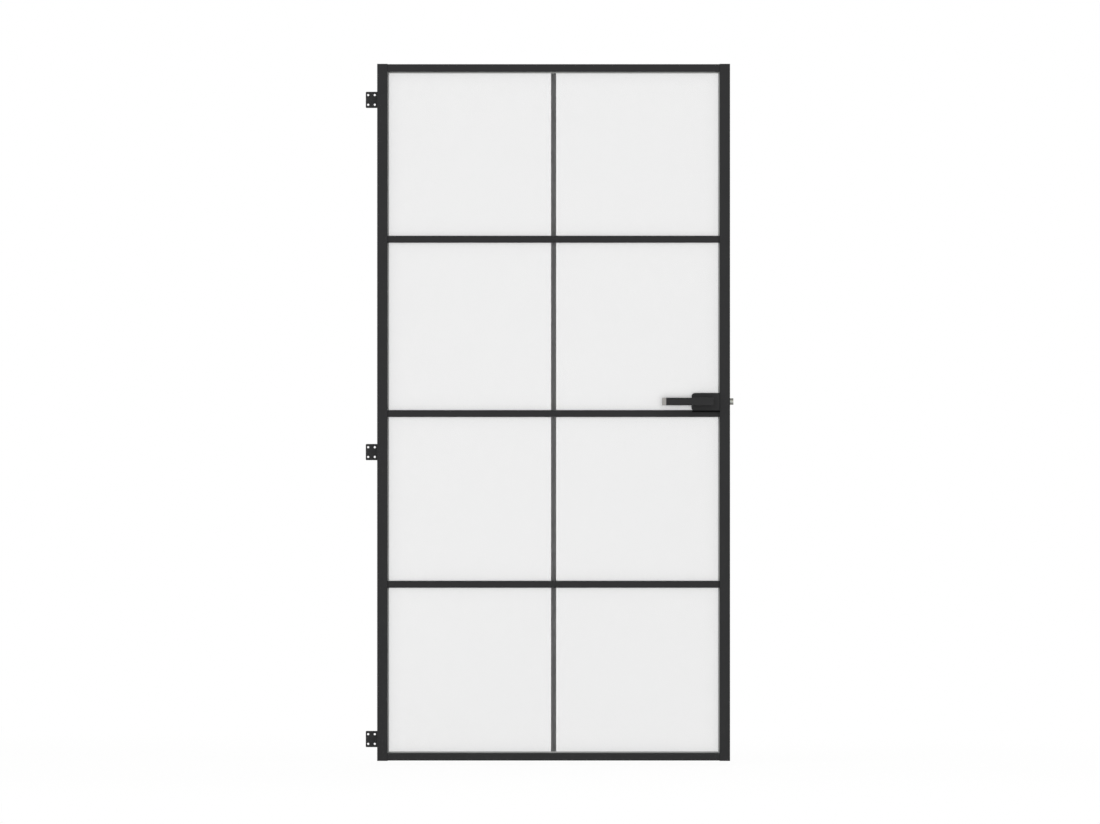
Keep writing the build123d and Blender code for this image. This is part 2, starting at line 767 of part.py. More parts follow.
def follower():
    """Hub with a square bore, two journals and the arm that drives the latch."""
    hub_half = chassis_face - chassis_wall - follower_gap
    with BuildPart() as piece:
        with BuildSketch(lock_plane(0, -1)):
            Circle(follower_radius)
        extrude(amount=hub_half, both=True)
        with BuildSketch(lock_plane(0, -1)):
            Circle(journal_radius)
        extrude(amount=chassis_face, both=True)
        with BuildSketch(lock_plane(0, -1)):
            with Locations((0, arm_reach / 2)):
                Rectangle(arm_width, arm_reach)
            with Locations((0, arm_reach)):
                Circle(arm_tip_radius)
        extrude(amount=arm_depth / 2, both=True)
        with BuildSketch(lock_plane(0, -1)):
            Rectangle(spindle_size + 2 * spindle_gap, spindle_size + 2 * spindle_gap)
        extrude(amount=chassis_face, both=True, mode=Mode.SUBTRACT)
    return piece


# Levers: flat bars on round necks, with a metal tip, on a square spindle
def lever(side):
    """The front (-1) or rear (1) lever without its tip."""
    bar_left = tip_length - lever_reach
    bar_length = lever_heel - bar_left
    grub_y = (case_face + lever_back) / 2
    with BuildPart() as piece:
        with BuildSketch(lock_plane(lever_back, side)):
            with Locations(((bar_left + lever_heel) / 2, 0)):
                Rectangle(bar_length, lever_height)
        extrude(amount=lever_thickness)
        fillet(piece.edges().filter_by(Axis.X), lever_edge)
        fillet(piece.faces().sort_by(Axis.X)[-1].edges(), lever_edge)
        with BuildSketch(lock_plane(neck_end, side)):
            Circle(neck_radius)
        extrude(amount=lever_back - neck_end)
        seam = piece.edges().filter_by(GeomType.CIRCLE).sort_by(outward(side))
        fillet(seam.filter_by(lambda edge: abs(edge.radius - neck_radius) < seat_gap)[-1], neck_blend)
        with BuildSketch(lock_plane(neck_end, side)):
            Rectangle(spindle_size + 2 * spindle_gap, spindle_size + 2 * spindle_gap)
        extrude(amount=socket_end - neck_end, mode=Mode.SUBTRACT)
        with BuildSketch(Plane.YZ.offset(spindle_x + bar_left)):
            with Locations((leaf_mid + side * (lever_back + lever_thickness / 2), lock_z)):
                Rectangle(lever_thickness - 2 * spigot_wall, lever_height - 2 * spigot_wall)
        extrude(amount=spigot_length + spindle_end_gap, mode=Mode.SUBTRACT)
        with Locations(Plane((spindle_x, leaf_mid + side * grub_y, lock_z - neck_radius), z_dir=(0, 0, -1))):
            Hole(grub_radius + seat_gap, depth=neck_radius - spindle_size / 2)
    return piece


def lever_tip(side):
    """The metal end of a lever, with a spigot that fills the bar's socket."""
    tip_left = spindle_x - lever_reach
    middle_y = leaf_mid + side * (lever_back + lever_thickness / 2)
    with BuildPart() as piece:
        with BuildSketch(Plane.YZ.offset(tip_left)):
            with Locations((middle_y, lock_z)):
                Rectangle(lever_thickness, lever_height)
        extrude(amount=tip_length)
        fillet(piece.edges().filter_by(Axis.X), lever_edge)
        fillet(piece.faces().sort_by(Axis.X)[0].edges(), lever_edge)
        with BuildSketch(Plane.YZ.offset(tip_left + tip_length)):
            with Locations((middle_y, lock_z)):
                spigot_size = 2 * (spigot_wall + seat_gap)
                Rectangle(lever_thickness - spigot_size, lever_height - spigot_size)
        extrude(amount=spigot_length)
    return piece


def lever_bush(side):
    """Flanged bush in a cover, which the lever's neck turns in."""
    with BuildPart() as piece:
        with BuildSketch(lock_plane(case_face, side)):
            Circle(bush_flange_radius)
        extrude(amount=bush_flange)
        outer_face = piece.faces().sort_by(outward(side))[-1]
        chamfer(outer_face.edges(), bush_flange_edge)
        with BuildSketch(lock_plane(case_face, side)):
            Circle(bush_radius)
        extrude(amount=-(case_wall + bush_inside))
        with Locations(lock_plane(case_face, side)):
            Hole(neck_radius + running_gap, depth=2 * case_wall)
    return piece


def spindle():
    """Square bar through the follower into both levers."""
    with BuildPart() as piece:
        with BuildSketch(lock_plane(0, -1)):
            Rectangle(spindle_size, spindle_size)
        extrude(amount=socket_end - spindle_end_gap, both=True)
    return piece


def grub_screws():
    """One set screw under each lever neck, bearing on the spindle."""
    length = neck_radius - grub_sink - spindle_size / 2
    grub_y = (case_face + lever_back) / 2
    places = [(spindle_x, leaf_mid + side * grub_y, lock_z - spindle_size / 2) for side in (-1, 1)]
    with BuildPart() as piece:
        with Locations(*places):
            Cylinder(grub_radius, length, align=(Align.CENTER, Align.CENTER, Align.MAX))
    return piece


os.makedirs("parts", exist_ok=True)

keep(hinge_stile(), "hinge_stile")
keep(lock_stile(), "lock_stile")
keep(rail(profile_top, -1), "top_rail")
keep(rail(profile_bottom, 1), "bottom_rail")
for bar_name, height in zip(("lower", "middle", "upper"), bar_z):
    keep(crossbar(height), f"{bar_name}_crossbar")
for stile_name, edge_x, towards in (("hinge", leaf_left, 1), ("lock", leaf_right, -1)):
    keep(end_cap(edge_x, towards, profile_top, 1), f"{stile_name}_stile_top_cap")
    keep(end_cap(edge_x, towards, profile_bottom, -1), f"{stile_name}_stile_bottom_cap")
for row_number, row_name in enumerate(row_names):
    keep(pane(row_number), f"{row_name}_glass")
    keep(gasket(row_number), f"{row_name}_gasket")
    keep(divider_strip(row_number), f"{row_name}_strip")
keep(frame_screws(), "frame_screws")

for hinge_name, hinge_centre in hinge_z.items():
    keep(wall_leaf(hinge_centre), f"{hinge_name}_hinge_wall_leaf")
    keep(door_leaf(hinge_centre), f"{hinge_name}_hinge_door_leaf")
    keep(hinge_pin(hinge_centre), f"{hinge_name}_hinge_pin")
keep(hinge_washers(), "hinge_washers")
leaf_holes = hinge_hole_planes(door_hole_x, door_plate_back, door_hole_pitch, hinge_z.values())
hinge_head_radius = hinge_screw_head_radius - seat_gap
keep(
    countersunk_screws(leaf_holes, hinge_screw_radius, hinge_head_radius, hinge_screw_length),
    "hinge_screws",
)

for side_name, facing in (("front", -1), ("rear", 1)):
    keep(lock_cover(facing), f"{side_name}_lock_cover")
    keep(lock_pad(facing), f"{side_name}_lock_pad")
    keep(lever_bush(facing), f"{side_name}_lever_bush")
    keep(lever(facing), f"{side_name}_lever")
    keep(lever_tip(facing), f"{side_name}_lever_tip")
boss_holes = [
    Plane((spindle_x + boss_x, leaf_mid + case_face, lock_z + end * boss_spacing / 2), z_dir=(0, 1, 0))
    for end in (-1, 1)
]
case_head_radius = case_screw_head_radius - seat_gap
keep(
    countersunk_screws(boss_holes, case_screw_radius, case_head_radius, case_screw_length),
    "lock_case_screws",
)
keep(lock_chassis(), "lock_chassis")
keep(chassis_lid(), "chassis_lid")
keep(follower(), "follower")
keep(spindle(), "spindle")
keep(grub_screws(), "lever_grub_screws")
keep(latch_bolt(), "latch_bolt")
keep(latch_insert(), "latch_insert")
keep(latch_guide(), "latch_guide")
keep(latch_spring(), "latch_spring")
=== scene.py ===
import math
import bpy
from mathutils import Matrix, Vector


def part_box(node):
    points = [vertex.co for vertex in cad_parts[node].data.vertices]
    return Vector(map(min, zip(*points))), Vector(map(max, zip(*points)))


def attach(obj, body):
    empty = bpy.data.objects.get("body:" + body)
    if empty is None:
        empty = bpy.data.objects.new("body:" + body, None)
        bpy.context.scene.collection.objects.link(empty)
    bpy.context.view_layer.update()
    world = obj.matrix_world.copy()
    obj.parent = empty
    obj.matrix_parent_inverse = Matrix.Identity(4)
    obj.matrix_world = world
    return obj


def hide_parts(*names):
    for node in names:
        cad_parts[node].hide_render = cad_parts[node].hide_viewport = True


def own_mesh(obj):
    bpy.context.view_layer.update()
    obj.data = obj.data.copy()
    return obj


bl_info = {
    "name": "Framed glass door leaf",
    "version": (1, 0, 0),
    "blender": (4, 5, 0),
    "location": "View3D > Sidebar > Glass door",
    "description": "Finishes, fasteners and studio for a slim black door leaf with etched panes",
    "category": "Object",
}

import bmesh
import bpy
from mathutils import Matrix, Vector

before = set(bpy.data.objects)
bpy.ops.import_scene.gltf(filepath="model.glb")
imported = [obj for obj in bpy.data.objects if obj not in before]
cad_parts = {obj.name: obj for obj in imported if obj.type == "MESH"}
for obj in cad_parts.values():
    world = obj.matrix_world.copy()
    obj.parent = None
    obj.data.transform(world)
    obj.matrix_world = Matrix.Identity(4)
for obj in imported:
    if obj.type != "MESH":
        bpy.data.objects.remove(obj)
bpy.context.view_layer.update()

MM = 0.001

# Screw shapes: shares of a screw's own sizes, and turns of its pitch
RECESS_TAPER_SHARE = 0.7
PAN_SHOULDER_SHARES = (0.8, 0.95)
PAN_DROP_SHARES = (0.12, 0.5)
SCREW_TIP_SHARE = 0.2
SET_SCREW_TIP_SHARE = 0.6
RIDGE_HALF_WIDTH_SHARE = 0.3
PAN_SCREW_BARE_TURNS = 2
COUNTERSUNK_BARE_TURNS = 1.5
RIDGE_SINK = 0.05 * MM

# How finely round shapes are drawn, and how closely loose points are welded
THREAD_STEPS = 16
SPRING_STEPS = 32
WIRE_SIDES = 12
HEX_SIDES = 6
HEX_SIDE_CUTS = 3
SHADOW_STRIP_EDGE_STEPS = 3
CAD_WELD = 0.01 * MM
SCREW_WELD = 0.001 * MM

# Edges that bend more than the crease stay sharp, and each screw stops a golden turn past the last
QUARTER_TURN = math.radians(90)
CREASE = math.radians(35)
GOLDEN_TURN = math.radians(137.5)

# The photograph's frame, and where the leaf stands in it, in pixels
PHOTO_WIDTH = 1100
PHOTO_HEIGHT = 824
LEAF_LEFT_PX = 377.15
LEAF_RIGHT_PX = 730.05
LEAF_BOTTOM_PX = 760.95

# CAD nodes that share a finish
ROWS = ("lower", "lower_middle", "upper_middle", "upper")
HINGES = ("bottom", "middle", "top")
SIDES = ("front", "rear")
FRAME_BARS = (
    "hinge_stile",
    "lock_stile",
    "top_rail",
    "bottom_rail",
    "lower_crossbar",
    "middle_crossbar",
    "upper_crossbar",
)
STILE_CAPS = tuple(f"{stile}_stile_{end}_cap" for stile in ("hinge", "lock") for end in ("top", "bottom"))


def linear(code):
    """Turn an sRGB hex colour such as #1b1b1c into the linear values that Blender works in."""
    shares = [int(code[start:start + 2], 16) / 255 for start in (1, 3, 5)]
    return [share / 12.92 if share <= 0.04045 else ((share + 0.055) / 1.055) ** 2.4 for share in shares]


def colour(label, code, use):
    """A colour that a user can change."""
    return bpy.props.FloatVectorProperty(
        name=label, description=use, subtype="COLOR", size=3, min=0, max=1, default=linear(code)
    )


def length(label, millimetres, use):
    """A size that a user can change, given in millimetres and kept in metres."""
    return bpy.props.FloatProperty(
        name=label, description=use, unit="LENGTH", subtype="DISTANCE", min=0, default=millimetres * MM
    )


def lamp_place(label, metres):
    """A lamp's place that a user can change, in metres from the leaf's middle."""
    return bpy.props.FloatVectorProperty(
        name=label,
        description="From the leaf's middle to the middle of the light",
        unit="LENGTH",
        subtype="TRANSLATION",
        size=3,
        default=metres,
    )


class DoorColours(bpy.types.PropertyGroup):
    """Colours of the door's materials."""

    powder: colour("Powder coat", "#242425", "Frame, crossbars and strips")
    hinge_coat: colour("Hinge coat", "#2c2c2d", "Hinge leaves")
    lacquer: colour("Lacquer", "#232324", "Lock covers and levers")
    glass: colour("Glass", "#f6f6f6", "Tint of the etched panes")
    gasket: colour("Gasket", "#aaabaa", "Grey glazing gaskets")
    black_plastic: colour("Black plastic", "#19191a", "Stile caps, bushes, washers and latch guide")
    pad: colour("Pads", "#151515", "Soft pads between the lock and the glass")
    # Painted shadow: near-black strips under the lock covers stand in for the shadow that the covers cast on
    # the middle crossbar
    shadow_strip: colour("Foam", "#070707", "Seals round the lower edges of the lock covers")
    zinc: colour("Zinc plating", "#bfc0bd", "Frame screws and lock chassis")
    black_oxide: colour("Black oxide", "#2b2b2c", "Hinge, lock and set screws")
    stainless: colour("Stainless steel", "#a6a4a1", "Lever tips")
    nickel: colour("Nickel plating", "#83827d", "Latch bolt")
    pale_nylon: colour("Pale nylon", "#bfc2bb", "Strip in the latch's nose")
    spring: colour("Spring steel", "#86857f", "Latch spring, spindle and follower")


class DoorFasteners(bpy.types.PropertyGroup):
    """Sizes of the screws that are modelled here."""

    slot_width: length("Recess slot", 0.85, "Width of a cross recess's arms")
    slot_reach: length("Recess reach", 1.8, "Length of a cross recess's arms from the middle")
    slot_depth: length("Recess depth", 1.5, "Depth of a cross recess")
    screw_core: length("Core", 1.55, "Radius of a screw under its thread")
    screw_thread: length("Thread", 1.95, "Radius of a screw over its thread")
    thread_pitch: length("Thread pitch", 1.4, "Distance from one turn of thread to the next")
    pan_height: length("Pan head", 2.8, "Height of a pan head")
    pan_rim: length("Pan head rim", 0.9, "Height of a pan head's rounded rim")
    head_edge: length("Head edge", 0.12, "Broken edge round a countersunk head or a set screw")
    socket_radius: length("Hex socket", 1.4, "Radius of a set screw's socket over its corners")
    socket_depth: length("Socket depth", 2.2, "Depth of a set screw's socket")
    grub_pitch: length("Set screw pitch", 0.8, "Thread pitch of a set screw")


class DoorTrim(bpy.types.PropertyGroup):
    """Sizes of the near-black strips that paint the shadow under the lock covers, and of the latch spring,
    that are modelled here.
    """

    spring_wire: length("Spring wire", 0.4, "Radius of the latch spring's wire")
    spring_turns: bpy.props.IntProperty(
        name="Spring turns", description="Turns of the latch spring", min=1, default=9
    )
    # These sizes shape the near-black strips that paint the shadow under the lock covers
    shadow_strip_height: length("Seal height", 2.3, "Height of the seal under a lock cover")
    shadow_strip_lip: length("Seal lip", 1.6, "Height of the lip over a lock cover's rounded lower edge")
    shadow_strip_wall: length("Seal wall", 0.7, "Thickness of that lip")
    shadow_strip_end: length("Seal end", 2.0, "From a lock cover's rounded end to its seal")
    shadow_strip_edge: length("Seal edge", 0.25, "Rounding of a seal's edges")
    shadow_strip_gap: length("Seal gap", 0.05, "Room between a seal and what it lies against")


class DoorStudio(bpy.types.PropertyGroup):
    """Camera, floor and light."""

    distance: length("Camera distance", 40000, "From the camera to the leaf's front face")
    floor_gap: length("Floor gap", 10, "From the leaf's bottom edge down to the floor")
    floor_size: length("Floor size", 60000, "Side of the square floor")
    floor_colour: colour("Floor", "#f4f4f2", "Plain pale floor")
    shadow_reach: length("Shadow reach", 1500, "From the frame's origin to where the floor starts to whiten")
    white_reach: length("White reach", 4500, "From the frame's origin to where the floor is plain white")
    shadow_glow: bpy.props.FloatProperty(
        name="Shadow glow", description="Share of plain white near the leaf", min=0, max=1, default=0.92
    )
    ambient: bpy.props.FloatProperty(
        name="Ambient", description="Light from all round, where 1 is white", min=0, default=0.78
    )
    key_power: bpy.props.FloatProperty(
        name="Key light", description="Soft light from the upper left", unit="POWER", min=0, default=75
    )
    fill_power: bpy.props.FloatProperty(
        name="Fill light", description="Soft light from the right", unit="POWER", min=0, default=40
    )
    back_power: bpy.props.FloatProperty(
        name="Back light", description="Soft light on the rear side", unit="POWER", min=0, default=75
    )
    key_place: lamp_place("Key light's place", (-2.6, -4.6, 3.4))
    fill_place: lamp_place("Fill light's place", (3.4, -4.4, 1.6))
    back_place: lamp_place("Back light's place", (1.2, 4.8, 3.2))
    light_size: length("Light size", 3500, "Side of each square soft light")


def add_node(tree, kind, settings=None, links=None):
    """Add a node, set its inputs or properties, and link the sockets that feed it."""
    node = tree.nodes.new(kind)
    for label, value in (settings or {}).items():
        if isinstance(label, int) or label in node.inputs:
            node.inputs[label].default_value = value
        else:
            setattr(node, label, value)
    for label, socket in (links or {}).items():
        tree.links.new(socket, node.inputs[label])
    return node


def new_material(name, sockets):
    """A material whose shader has these sockets set, with its tree, shader and Object coordinates.

    Pieces with the same finish share one material, which is drawn afresh.
    """
    material = bpy.data.materials.get(name) or bpy.data.materials.new(name)
    material.use_nodes = True
    tree = material.node_tree
    tree.nodes.clear()
    shader = add_node(tree, "ShaderNodeBsdfPrincipled", sockets)
    add_node(tree, "ShaderNodeOutputMaterial", None, {"Surface": shader.outputs["BSDF"]})
    place = add_node(tree, "ShaderNodeTexCoord").outputs["Object"]
    return material, tree, shader, place


def surface(name, tint, sockets, drift, gloss, relief, stretch=(1, 1, 1), cells=False):
    """An opaque material whose tone drifts, whose gloss varies and whose surface has a fine relief.

    drift is the patch size in millimetres and the share that the tone swings by, gloss is the patch
    size with the lowest and highest roughness, and relief is the grain size and height in
    millimetres. A stretch below 1 draws the patterns out along an axis, and cells makes the relief
    of round grains. Scratches, pits and plating are finer than this in life, and are drawn as
    coarse as they need to show.
    """
    material, tree, shader, place = new_material(name, sockets)
    drawn = add_node(tree, "ShaderNodeMapping", {"Scale": stretch}, {"Vector": place}).outputs["Vector"]
    patches = add_node(tree, "ShaderNodeTexNoise", {"Scale": 1 / (drift[0] * MM)}, {"Vector": drawn})
    swing = {"To Min": 1 - drift[1], "To Max": 1 + drift[1]}
    tone = add_node(tree, "ShaderNodeMapRange", swing, {"Value": patches.outputs["Fac"]})
    shade = add_node(
        tree,
        "ShaderNodeHueSaturation",
        {"Color": (*tint, 1)},
        {"Value": tone.outputs["Result"]},
    )
    tree.links.new(shade.outputs["Color"], shader.inputs["Base Color"])
    rubbed = add_node(tree, "ShaderNodeTexNoise", {"Scale": 1 / (gloss[0] * MM)}, {"Vector": drawn})
    rough = {"To Min": gloss[1], "To Max": gloss[2]}
    roughness = add_node(tree, "ShaderNodeMapRange", rough, {"Value": rubbed.outputs["Fac"]})
    tree.links.new(roughness.outputs["Result"], shader.inputs["Roughness"])
    kind = "ShaderNodeTexVoronoi" if cells else "ShaderNodeTexNoise"
    grain = add_node(tree, kind, {"Scale": 1 / (relief[0] * MM)}, {"Vector": drawn})
    bump = {"Strength": 1.0, "Distance": relief[1] * MM}
    raised = add_node(tree, "ShaderNodeBump", bump, {"Height": grain.outputs[0]})
    tree.links.new(raised.outputs["Normal"], shader.inputs["Normal"])
    return material


def powder_coat(tint, name="powder_coat"):
    """Polyester powder baked on aluminium and steel: a soft black sheen broken by fine orange peel."""
    return surface(
        name,
        tint,
        {"Specular IOR Level": 0.25},
        drift=(60, 0.10),
        gloss=(14, 0.46, 0.58),
        relief=(0.7, 0.06),
    )


def satin_lacquer(tint):
    """Wet lacquer on die-cast zinc: smoother than powder, with a slightly deeper black."""
    return surface(
        "satin_lacquer",
        tint,
        {"Specular IOR Level": 0.25},
        drift=(25, 0.08),
        gloss=(8, 0.38, 0.48),
        relief=(0.9, 0.006),
    )


def acid_etched_glass(tint, middle):
    """Toughened float glass, polished in front and acid-etched behind: milky, bright and soft-edged.

    The etched face lies behind the pane's middle, so its place along Y chooses the roughness. The
    etching's own grit is far too fine to show, so it is drawn as a faint cloudiness. Beside the frame,
    the lock and the levers an ambient occlusion node darkens the front face's colour: painted shade.
    """
    cloud_size = 35 * MM
    etched_roughness = {"To Min": 0.6, "To Max": 0.7}
    polished_roughness = {"To Min": 0.02}
    milkiness = {"To Min": 0.985, "To Max": 1.0}
    painted_shade_reach = {"samples": 8, "Distance": 45 * MM}
    painted_shade_range = {"From Min": 0.5, "To Min": 0.76}
    material, tree, shader, place = new_material(
        "acid_etched_glass", {"Transmission Weight": 0.98, "IOR": 1.52}
    )
    depth = add_node(tree, "ShaderNodeSeparateXYZ", None, {"Vector": place}).outputs["Y"]
    behind = add_node(tree, "ShaderNodeMath", {"operation": "GREATER_THAN", 1: middle}, {0: depth})
    clouds = add_node(tree, "ShaderNodeTexNoise", {"Scale": 1 / cloud_size}, {"Vector": place})
    etched = add_node(tree, "ShaderNodeMapRange", etched_roughness, {"Value": clouds.outputs["Fac"]})
    faces = {"Value": behind.outputs["Value"], "To Max": etched.outputs["Result"]}
    roughness = add_node(tree, "ShaderNodeMapRange", polished_roughness, faces)
    tree.links.new(roughness.outputs["Result"], shader.inputs["Roughness"])
    milk = add_node(tree, "ShaderNodeMapRange", milkiness, {"Value": clouds.outputs["Fac"]})
    # Painted shade: ambient occlusion darkens the front face's colour near the frame, the lock and the
    # levers
    painted_shade_occlusion = add_node(tree, "ShaderNodeAmbientOcclusion", painted_shade_reach)
    painted_shade_level = add_node(tree, "ShaderNodeMapRange", painted_shade_range, {"Value": painted_shade_occlusion.outputs["AO"]})
    # The painted shade darkens only the outer side of the polished face; the etched face and the inner side
    # of the polished one keep their full colour
    inner = add_node(tree, "ShaderNodeNewGeometry").outputs["Backfacing"]
    faces_free_of_painted_shade = {0: behind.outputs["Value"], 1: inner}
    unshaded_faces = add_node(tree, "ShaderNodeMath", {"operation": "MAXIMUM"}, faces_free_of_painted_shade)
    painted_shade_in_front = {0: painted_shade_level.outputs["Result"], 1: unshaded_faces.outputs["Value"]}
    painted_shade_factor = add_node(tree, "ShaderNodeMath", {"operation": "MAXIMUM"}, painted_shade_in_front)
    both = {0: milk.outputs["Result"], 1: painted_shade_factor.outputs["Value"]}
    tone = add_node(tree, "ShaderNodeMath", {"operation": "MULTIPLY"}, both)
    shade = add_node(
        tree, "ShaderNodeHueSaturation", {"Color": (*tint, 1)}, {"Value": tone.outputs["Value"]}
    )
    tree.links.new(shade.outputs["Color"], shader.inputs["Base Color"])
    return material


def epdm_rubber(tint):
    """Extruded grey EPDM: dull, with faint lines along the run and a dusty bloom."""
    return surface(
        "epdm_rubber",
        tint,
        {"Specular IOR Level": 0.3},
        drift=(18, 0.08),
        gloss=(6, 0.7, 0.85),
        relief=(0.7, 0.02),
        stretch=(0.4, 1, 0.4),
    )


def moulded_plastic(tint):
    """Injection-moulded ABS and nylon with a spark-eroded skin: tiny round pits that dull the shine."""
    return surface(
        "moulded_plastic",
        tint,
        {"Specular IOR Level": 0.4},
        drift=(12, 0.08),
        gloss=(4, 0.5, 0.66),
        relief=(0.5, 0.02),
        cells=True,
    )


def sheet_rubber(tint):
    """Black sheet rubber: the darkest and dullest surface on the door."""
    return surface(
        "sheet_rubber",
        tint,
        {"Specular IOR Level": 0.25},
        drift=(9, 0.1),
        gloss=(3, 0.75, 0.9),
        relief=(0.6, 0.012),
    )


def shadow_strip_black(tint):
    """Near-black and dull, so that the strips under the lock covers read as a dark line: a painted shadow.
    """
    return surface(
        "shadow_strip_black",
        tint,
        {"Specular IOR Level": 0.05},
        drift=(4, 0.1),
        gloss=(2, 0.85, 0.95),
        relief=(0.8, 0.05),
        cells=True,
    )


def zinc_plate(tint):
    """Bright zinc on steel: cool grey with a faint spangle of crystal patches."""
    return surface(
        "zinc_plate",
        tint,
        {"Metallic": 1.0},
        drift=(2.5, 0.16),
        gloss=(1.5, 0.26, 0.42),
        relief=(1.8, 0.012),
        cells=True,
    )


def black_oxide(tint):
    """Oiled black oxide on screw steel: dark, with a thin metallic glint."""
    return surface(
        "black_oxide",
        tint,
        {"Metallic": 0.7},
        drift=(1.6, 0.2),
        gloss=(0.9, 0.34, 0.5),
        relief=(0.4, 0.008),
    )


def brushed_stainless(tint):
    """Stainless steel brushed along the lever: long fine scratches that spread the highlight."""
    return surface(
        "brushed_stainless",
        tint,
        {"Metallic": 1.0, "Anisotropic": 0.4},
        drift=(0.5, 0.10),
        gloss=(0.35, 0.30, 0.48),
        relief=(0.3, 0.006),
        stretch=(0.04, 1, 1),
    )


def satin_nickel(tint):
    """Nickel plate over a linished casting: warm grey, with short marks across the bolt."""
    return surface(
        "satin_nickel",
        tint,
        {"Metallic": 1.0},
        drift=(1.2, 0.10),
        gloss=(0.6, 0.28, 0.44),
        relief=(0.35, 0.006),
        stretch=(1, 1, 0.1),
    )


def pale_nylon(tint):
    """Natural nylon: off-white, waxy, with light soaking in at its edges."""
    return surface(
        "pale_nylon",
        tint,
        {"Subsurface Weight": 0.15, "Subsurface Scale": 1.5 * MM},
        drift=(3, 0.05),
        gloss=(2, 0.42, 0.55),
        relief=(0.5, 0.01),
    )


def spring_steel(tint):
    """Drawn steel, oiled and left bare: darker than the plating, with marks along the wire."""
    return surface(
        "spring_steel",
        tint,
        {"Metallic": 1.0},
        drift=(1.5, 0.15),
        gloss=(0.8, 0.25, 0.4),
        relief=(0.3, 0.006),
        stretch=(0.3, 1, 1),
    )


def dress(material, *names):
    """Give CAD nodes a material in place of the plain one that they came with."""
    for name in names:
        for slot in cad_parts[name].material_slots:
            slot.material = material


def solid_boxes(node):
    """Lowest and highest corner of each separate solid in a CAD node, from a welded copy of its mesh."""
    bm = bmesh.new()
    bm.from_mesh(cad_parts[node].data)
    bmesh.ops.remove_doubles(bm, verts=bm.verts, dist=CAD_WELD)
    boxes = []
    seen = set()
    for start in bm.verts:
        if start in seen:
            continue
        seen.add(start)
        island = [start]
        for vertex in island:
            for edge in vertex.link_edges:
                other = edge.other_vert(vertex)
                if other not in seen:
                    seen.add(other)
                    island.append(other)
        corners = zip(*(vertex.co for vertex in island))
        spans = [(min(values), max(values)) for values in corners]
        boxes.append((Vector(span[0] for span in spans), Vector(span[1] for span in spans)))
    bm.free()
    return boxes


def draw_out(bm, ring, share, rise):
    """Extrude a ring of edges to a share of its width and up by a rise. Returns the new ring."""
    drawn = bmesh.ops.extrude_edge_only(bm, edges=ring)["geom"]
    verts = [item for item in drawn if isinstance(item, bmesh.types.BMVert)]
    bmesh.ops.scale(bm, vec=(share, share, 1), verts=verts)
    bmesh.ops.translate(bm, vec=(0, 0, rise), verts=verts)
    return [item for item in drawn if isinstance(item, bmesh.types.BMEdge)]


def cross_recess(bm, sizes):
    """A cross-shaped drive sunk below Z 0, in a square field. Returns the field's outer edges."""
    half = sizes.slot_width / 2
    lines = (half, (half + sizes.slot_reach) / 2, sizes.slot_reach, sizes.slot_reach + half / 2)
    columns = [-line for line in reversed(lines)] + [*lines]
    cells = len(columns) - 1
    middle = cells // 2
    half_side = cells / 2
    bmesh.ops.create_grid(bm, x_segments=cells, y_segments=cells, size=half_side)
    arms = []
    for face in bm.faces:
        across, along = (abs(round(value)) for value in face.calc_center_median().xy)
        if 0 in (across, along) and across + along < middle:
            arms.append(face)
    for vertex in bm.verts:
        vertex.co.xy = [columns[round(value + half_side)] for value in vertex.co.xy]
    rim = [edge for edge in bm.edges if edge.is_boundary]
    sides = list({edge: None for face in arms for edge in face.edges})
    sunk = bmesh.ops.extrude_face_region(bm, geom=arms + sides)["geom"]
    floor = [item for item in sunk if isinstance(item, bmesh.types.BMVert)]
    bmesh.ops.scale(bm, vec=(RECESS_TAPER_SHARE, RECESS_TAPER_SHARE, 1), verts=floor)
    bmesh.ops.translate(bm, vec=(0, 0, -sizes.slot_depth), verts=floor)
    return rim


def hex_socket(bm, sizes):
    """A six-sided drive sunk below Z 0. Returns the edges of its mouth."""
    bmesh.ops.create_circle(bm, segments=HEX_SIDES, radius=sizes.socket_radius)
    bmesh.ops.subdivide_edges(bm, edges=bm.edges[:], cuts=HEX_SIDE_CUTS)
    mouth = bm.edges[:]
    floor = draw_out(bm, mouth, 1, -sizes.socket_depth)
    bmesh.ops.edgeloop_fill(bm, edges=floor)
    return mouth


def turned_body(bm, mouth, rings):
    """Draw a drive's mouth out to a round first ring and on through the others to a closed tip.

    Each ring is a radius and a height.
    """
    radius, height = rings[0]
    ring = draw_out(bm, mouth, 1, height)
    for edge in ring:
        for vertex in edge.verts:
            vertex.co.xy = vertex.co.xy.normalized() * radius
    for (radius, above), (next_radius, below) in zip(rings, rings[1:]):
        ring = draw_out(bm, ring, next_radius / radius, below - above)
    bmesh.ops.edgeloop_fill(bm, edges=ring)


def thread(bm, core, crest, top, bottom, pitch):
    """A helical ridge from top down to bottom, spun round the axis as it moves along it."""
    turns = (top - bottom) / pitch
    root = core - RIDGE_SINK
    half_width = pitch * RIDGE_HALF_WIDTH_SHARE
    points = ((crest, top), (root, top + half_width), (root, top - half_width))
    verts = [bm.verts.new((radius, 0, height)) for radius, height in points]
    edges = bm.faces.new(verts).edges[:]
    steps = round(turns * THREAD_STEPS)
    spun = bmesh.ops.spin(
        bm,
        geom=verts + edges,
        axis=(0, 0, 1),
        dvec=(0, 0, -pitch / THREAD_STEPS),
        angle=2 * math.pi * steps / THREAD_STEPS,
        steps=steps,
    )
    last = [item for item in spun["geom_last"] if isinstance(item, bmesh.types.BMEdge)]
    bmesh.ops.edgeloop_fill(bm, edges=last)


